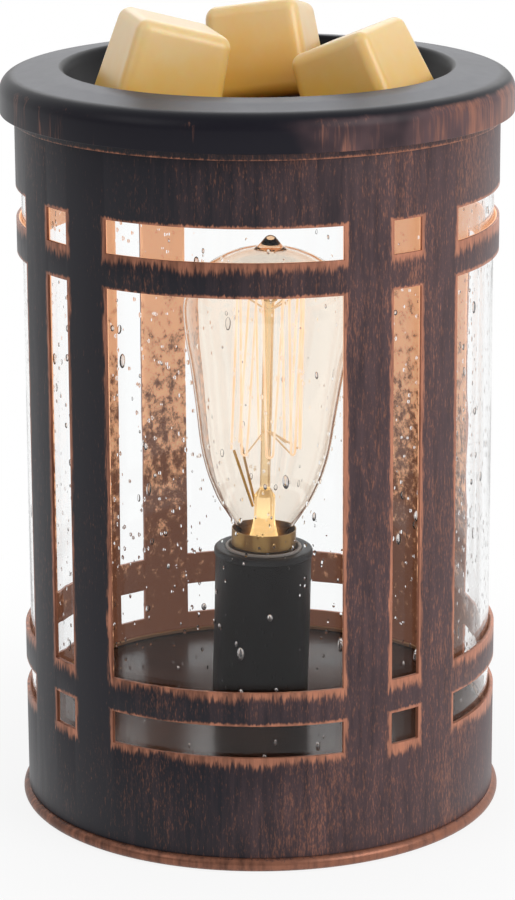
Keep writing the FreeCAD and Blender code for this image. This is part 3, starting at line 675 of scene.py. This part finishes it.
class WARMER_OT_socket(bpy.types.Operator):
    """Turns the black lamp socket and the pale sleeve inside it."""
    bl_idname = "warmer.socket"
    bl_label = "Lamp socket"

    def execute(self, context):
        base, top, hole, well = 25.42, 66.0, 5.4, 10.0
        barrel, swell, foot_corner, crown, mouth_corner = 12.5, 12.85, 0.4, 0.8, 0.3
        profile = [(hole, base), (barrel - foot_corner, base)]
        profile += arc(barrel - foot_corner, base + foot_corner, foot_corner, 270, 360, 4)[1:]
        profile += [(barrel, 63.8), (12.6, 64.0), (swell, 64.3), (swell, top - crown)]
        profile += arc(swell - crown, top - crown, crown, 0, 90, 6)[1:]
        profile += arc(well + mouth_corner, top - mouth_corner, mouth_corner, 90, 180, 3)
        profile += [(well, base + 3.0), (hole, base + 3.0)]
        socket = turned(closed(in_mm(profile)), 128)
        lean_piece(socket)
        finish = Finish("socket_black")
        cloud = finish.noise(70.0, detail=2.0)
        material = finish.surface(base_color=(0.0085, 0.0088, 0.0115), roughness=cloud * 0.08 + 0.34,
                                  specular_ior_level=0.35)
        finish_piece(socket, "socket_cup", "lamp_body", material, ("socket_housing",))

        inner, outer, low, high, edge = 9.0, 9.9, 36.0, 66.2, 0.25
        profile = [(inner, low), (outer, low), (outer, high)] + arc(outer - edge, high, edge, 0, 90, 3)[1:]
        profile += arc(inner + edge, high, edge, 90, 180, 3)
        sleeve = turned(closed(in_mm(profile)), 96)
        lean_piece(sleeve)
        finish = Finish("sleeve_pale_grey")
        pale = finish.mix(finish.noise(200.0), (0.55, 0.55, 0.54), (0.70, 0.70, 0.68))
        material = finish.surface(base_color=pale, roughness=0.55)
        finish_piece(sleeve, "socket_ring", "lamp_body", material, ("socket_sleeve",))
        return {"FINISHED"}


class WARMER_OT_bulb(bpy.types.Operator):
    """Turns the teardrop bulb's glass and bends its hairpin filament."""
    bl_idname = "warmer.bulb"
    bl_label = "Bulb"

    def execute(self, context):
        self.envelope()
        self.filament()
        return {"FINISHED"}

    def outline(self, inset, turns):
        """The bulb's side and dome as (radius, height over the floor plate), drawn in by the inset."""
        widest, waist = BULB_FLANK[-1]
        run = [(r - inset, z) for r, z in BULB_FLANK]
        rise = BULB_DOME - inset - waist
        run += [((widest - inset) * math.cos(math.radians(t)), waist + rise * math.sin(math.radians(t)))
                for t in turns]
        return smooth_run(run, 5)

    def envelope(self):
        wall, low, neck, neck_in = 0.8, 32.0, 6.9, 6.1
        outer = self.outline(0.0, (15, 30, 45, 60, 72, 80))
        inner = self.outline(wall, (15, 30, 45, 60, 75, 90))
        inner[-1] = (0.0, BULB_DOME - wall)

        def over_floor(points):
            return [(r * MM, FLOOR + z * MM) for r, z in points]

        outer_points = over_floor([(neck, low)] + outer + list(BULB_TIP))
        inner_points = over_floor(reversed([(neck_in, low)] + inner))
        glass = turned(outer_points, 128, 60)
        turned(inner_points + [outer_points[0]], 128, 60)
        glass.select_set(True)
        bpy.context.view_layer.objects.active = glass
        bpy.ops.object.join()
        weld()
        lean_piece(glass)
        finish = Finish("bulb_glass_clear")
        material = finish.surface(base_color=(1.0, 0.99, 0.975), roughness=0.0, ior=1.45,
                                  transmission_weight=1.0)
        tint = finish.node("ShaderNodeVolumeAbsorption", {},
                           {"Color": (1.0, 0.72, 0.38, 1.0), "Density": 180.0})
        finish.tree.links.new(tint.outputs[0], finish.output.inputs[1])
        finish_piece(glass, "bulb_envelope", "bulb", material, ("bulb_glass",))

    def filament(self):
        wire = self.hairpins(out=8.9, low=67.3, high=109.0, hooks=15, first=195.0, bend=0.85,
                             thickness=0.28)
        lean_piece(wire)
        finish = Finish("filament_lit")
        heat = finish.noise(120.0, detail=2.0)
        material = finish.surface(
            base_color=(0.80, 0.50, 0.30), roughness=0.6,
            emission_color=finish.mix(heat.ramp(0.3, 0.7), (1.0, 0.70, 0.44), (1.0, 0.86, 0.68)),
            emission_strength=0.85)
        finish_piece(wire, "filament_hairpins", "bulb", material, ("bulb_filament",))

    def hairpins(self, out, low, high, hooks, first, bend, thickness):
        """Draws one wire up and down round the stem with a rounded turn at every hook."""
        hook_angle = 22.5
        points = []
        for hook in range(hooks):
            turn = math.radians(first + hook * hook_angle)
            level, side = (low, -1) if hook % 2 == 0 else (high, 1)
            ends = hook in (0, hooks - 1)
            for step in ((90,) if ends else (180, 150, 120, 90, 60, 30, 0)):
                swing = bend * math.cos(math.radians(step))
                rise = side * bend * (math.sin(math.radians(step)) - 1)
                angle = turn + swing / out
                points.append(Vector((out * math.cos(angle) * MM, out * math.sin(angle) * MM,
                                      FLOOR + (level + rise) * MM)))
        drawn(points)
        bpy.ops.object.convert(target="CURVE")
        wire = bpy.context.object
        wire.data.bevel_depth = thickness * MM
        wire.data.bevel_resolution = 2
        wire.data.use_fill_caps = True
        bpy.ops.object.convert(target="MESH")
        weld(1e-6)
        bpy.ops.object.shade_smooth()
        return bpy.context.object


class WARMER_OT_finishes(bpy.types.Operator):
    """Gives each CAD node that stays its own material."""
    bl_idname = "warmer.finishes"
    bl_label = "Small parts' finishes"

    def execute(self, context):
        def plain(name, colour, roughness, metallic=0.0, spread=0.12, **more):
            finish = Finish(name)
            cloud = finish.noise(350.0)
            return finish.surface(base_color=finish.mix(cloud, shade(colour, 1 - spread), colour),
                                  metallic=metallic, roughness=(cloud - 0.5) * 0.15 + roughness, **more)

        steel = plain("zinc_steel", (0.62, 0.62, 0.60), 0.35, 1.0)
        brass = plain("aged_brass", (0.42, 0.25, 0.085), 0.34, 1.0, 0.35)
        rubber = plain("black_rubber", (0.03, 0.03, 0.03), 0.8)
        looks = {
            "socket_shell": plain("copper_alloy", (0.62, 0.33, 0.18), 0.35, 1.0),
            "socket_disc": plain("fibre_disc", (0.03, 0.028, 0.026), 0.6),
            "lead_wires": plain("black_cover", (0.03, 0.03, 0.03), 0.5),
            "terminal_block": plain("natural_nylon", (0.80, 0.79, 0.74), 0.45),
            "bulb_insulator": plain("black_glass", (0.02, 0.02, 0.022), 0.15),
            "bulb_contact": plain("solder", (0.60, 0.60, 0.57), 0.4, 1.0),
            "bulb_stem": self.stem_glass(),
            # The support wires get a painted glow that stands for the filament's light on them
            "bulb_supports": plain("nickel_wire_painted_glow", (0.78, 0.66, 0.48), 0.4,
                                   emission_color=(0.70, 0.50, 0.30), emission_strength=0.6),
            "bulb_leads": plain("gold_wire", (0.90, 0.55, 0.12), 0.35, 0.5),
        }
        shared = (
            (steel, ("pillars", "base_screws", "nipple", "lock_washer", "nipple_nuts", "terminal_screws",
                     "block_screw")),
            (brass, ("terminal_sleeves", "bulb_cap", "contact_leaf", "contact_rivet", "socket_terminals")),
            (rubber, ("foot_pads", "cord_grommet")),
            (self.melted_wax(), ["wax_melt_%d" % number for number in range(1, 5)]),
        )
        for material, names in shared:
            looks.update(dict.fromkeys(names, material))
        for name, material in looks.items():
            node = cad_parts[name]
            for slot in node.material_slots:
                slot.material = material
        return {"FINISHED"}

    def melted_wax(self):
        """Amber wax that light soaks into, painted paler towards the melts' tops as light falling on them.
        """
        finish = Finish("amber_wax")
        cloud = finish.noise(120.0)
        # Painted light: the wax turns paler higher up, standing for the light that falls on the melts' tops
        height = (finish.z + (cloud - 0.5) * (14.0 * MM)).ramp(182.0 * MM, 212.0 * MM)
        return finish.surface(
            base_color=finish.mix(height, shade(settings().wax), (0.90, 0.68, 0.36)),
            roughness=0.34, subsurface_weight=0.55, subsurface_radius=(1.0, 0.50, 0.16),
            subsurface_scale=4.0 * MM, coat_weight=0.25, coat_roughness=0.25,
            normal=finish.bump(finish.noise(110.0), 0.25 * MM, 0.3))

    def stem_glass(self):
        """The bulb's stem, with a painted glow for the filament's light, most of all at its foot."""
        finish = Finish("stem_glass_painted_glow")
        foot = finish.z.ramp(FLOOR + 47.0 * MM, FLOOR + 60.0 * MM, 1.0, 0.0)
        return finish.surface(
            base_color=(0.97, 0.83, 0.55), roughness=0.05, ior=1.45, transmission_weight=0.75,
            emission_color=finish.mix(foot, (0.20, 0.12, 0.05), (0.95, 0.70, 0.36)), emission_strength=0.45)


class WARMER_OT_stage(bpy.types.Operator):
    """Sets up the pale floor, the soft lamps, the white background and the camera."""
    bl_idname = "warmer.stage"
    bl_label = "Stage"

    def execute(self, context):
        self.floor()
        self.backdrop(context.scene)
        self.lamps(context.scene)
        self.camera(context.scene)
        context.scene.view_settings.view_transform = "Standard"
        return {"FINISHED"}

    def floor(self):
        """A white plane that takes the lamp's shadow only near its foot."""
        clear_selection()
        bpy.ops.mesh.primitive_plane_add(size=6.0, location=(0, 0, 0))
        floor = bpy.context.object
        floor.name = "studio_floor"
        finish = Finish("studio_floor_white")
        pale = shade((1.0, 1.0, 1.0), settings().floor_shade)
        diffuse = finish.node("ShaderNodeBsdfDiffuse", {}, {"Color": (*pale, 1)})
        glow = finish.node("ShaderNodeEmission", {}, {"Color": (1, 1, 1, 1), "Strength": 1.0})
        rays = finish.node("ShaderNodeLightPath").outputs
        camera_ray, glossy_ray, passing_ray = (
            Signal(finish, rays[kind]) for kind in ("Is Camera Ray", "Is Glossy Ray", "Is Transmission Ray"))
        near, far, near_share = 0.05, 0.22, 0.86
        seen = camera_ray.most(glossy_ray.most(passing_ray))
        share = seen * finish.radius().ramp(near, far, near_share, 1.0)
        finish.tree.links.new(finish.blend(share, diffuse, glow).outputs[0], finish.output.inputs[0])
        floor.data.materials.append(finish.material)

    def backdrop(self, scene):
        """White to the camera; to metal and glass it is white only towards the backdrop."""
        world = bpy.data.worlds.new("studio_world")
        scene.world = world
        world.use_nodes = True
        sky = NodeBoard(world.node_tree)
        out = sky.node("ShaderNodeOutputWorld")
        rays = sky.node("ShaderNodeLightPath").outputs
        mirrored = sky.node("ShaderNodeMath", {"operation": "MAXIMUM"},
                            {0: rays["Is Glossy Ray"], 1: rays["Is Transmission Ray"]})
        heading = sky.node("ShaderNodeTexCoord").outputs["Generated"]
        apart = sky.node("ShaderNodeSeparateXYZ", {}, {0: heading})
        towards = sky.node("ShaderNodeMapRange", {}, {
            "From Min": -0.5, "From Max": 0.5, "To Min": 0.18, "To Max": 1.0, "Value": apart.outputs[1]})
        light = sky.node("ShaderNodeBackground", {}, {"Color": (0.8, 0.8, 0.8, 1), "Strength": 0.55})
        mirror, white = (
            sky.node("ShaderNodeBackground", {}, {"Color": (1, 1, 1, 1), "Strength": strength})
            for strength in (towards.outputs[0], 1.0))
        lit = sky.blend(mirrored.outputs[0], light, mirror)
        both = sky.blend(rays["Is Camera Ray"], lit, white)
        sky.tree.links.new(both.outputs[0], out.inputs[0])

    def lamps(self, scene):
        """Three soft lamps that point at the body; each has a place, a width and a power in watts."""
        aim = Vector((0, 0, 0.1))
        for name, place, size, power in (
                ("key", (1.05, -0.55, 0.75), 0.8, 9.0),
                ("fill", (-0.85, -0.75, 0.9), 0.7, 3.0),
                ("back", (-0.1, 1.1, 0.9), 1.0, 4.0)):
            lamp = bpy.data.lights.new(name, "AREA")
            lamp.size = size
            lamp.energy = power
            holder = bpy.data.objects.new(name, lamp)
            scene.collection.objects.link(holder)
            holder.location = place
            # Lamp light that comes through the glass by chance only adds grain
            holder.visible_transmission = False
            holder.rotation_euler = (aim - Vector(place)).to_track_quat("-Z", "Y").to_euler()

    def camera(self, scene):
        """The camera stands where the photograph was taken from."""
        turn, tilt, roll = math.radians(8.7), 0.2752, 0.0047
        away, up = 0.8779, 0.3340
        data = bpy.data.cameras.new("camera")
        camera = bpy.data.objects.new("camera", data)
        scene.collection.objects.link(camera)
        place = Vector((away * math.sin(turn), -away * math.cos(turn), up))
        ahead = Vector((-math.sin(turn), math.cos(turn), 0)).normalized()
        right = Vector((ahead.y, -ahead.x, 0))
        forward = ahead * math.cos(tilt) - Vector((0, 0, 1)) * math.sin(tilt)
        down = -right.cross(forward).normalized()
        right_rolled = math.cos(roll) * right + math.sin(roll) * down
        down_rolled = -math.sin(roll) * right + math.cos(roll) * down
        facing = Matrix((right_rolled, -down_rolled, -forward)).transposed()
        camera.matrix_world = Matrix.Translation(place) @ facing.to_4x4()
        # The photograph's size, focal length and middle of view, in its own pixels
        picture_wide, picture_high = 515.0, 900.0
        focal, middle_x, middle_y = 3532.0, 259.1, 471.0
        data.sensor_width = 36.0
        data.lens = focal * data.sensor_width / picture_high
        data.shift_x = -(middle_x - picture_wide / 2) / picture_high
        data.shift_y = (middle_y - picture_high / 2) / picture_high
        data.dof.use_dof = False
        data.clip_start = 0.01
        scene.camera = camera


STEPS = (WARMER_OT_shell, WARMER_OT_ring, WARMER_OT_foot, WARMER_OT_glass, WARMER_OT_dish, WARMER_OT_socket,
         WARMER_OT_bulb, WARMER_OT_finishes, WARMER_OT_stage)


class WARMER_PT_panel(bpy.types.Panel):
    """Lists the lamp's modelling steps."""
    bl_idname = "WARMER_PT_panel"
    bl_label = "Warmer lamp"
    bl_space_type = "VIEW_3D"
    bl_region_type = "UI"
    bl_category = "Warmer lamp"

    def draw(self, context):
        for name in LampSettings.__annotations__:
            self.layout.prop(context.scene.warmer_lamp, name)
        for step in STEPS:
            self.layout.operator(step.bl_idname)


CLASSES = (LampSettings,) + STEPS + (WARMER_PT_panel,)


def register():
    for each in CLASSES:
        bpy.utils.register_class(each)
    bpy.types.Scene.warmer_lamp = PointerProperty(type=LampSettings)


def unregister():
    del bpy.types.Scene.warmer_lamp
    for each in reversed(CLASSES):
        bpy.utils.unregister_class(each)


def main():
    register()
    for step in STEPS:
        group, name = step.bl_idname.split(".")
        getattr(getattr(bpy.ops, group), name)()


if __name__ == "__main__":
    main()
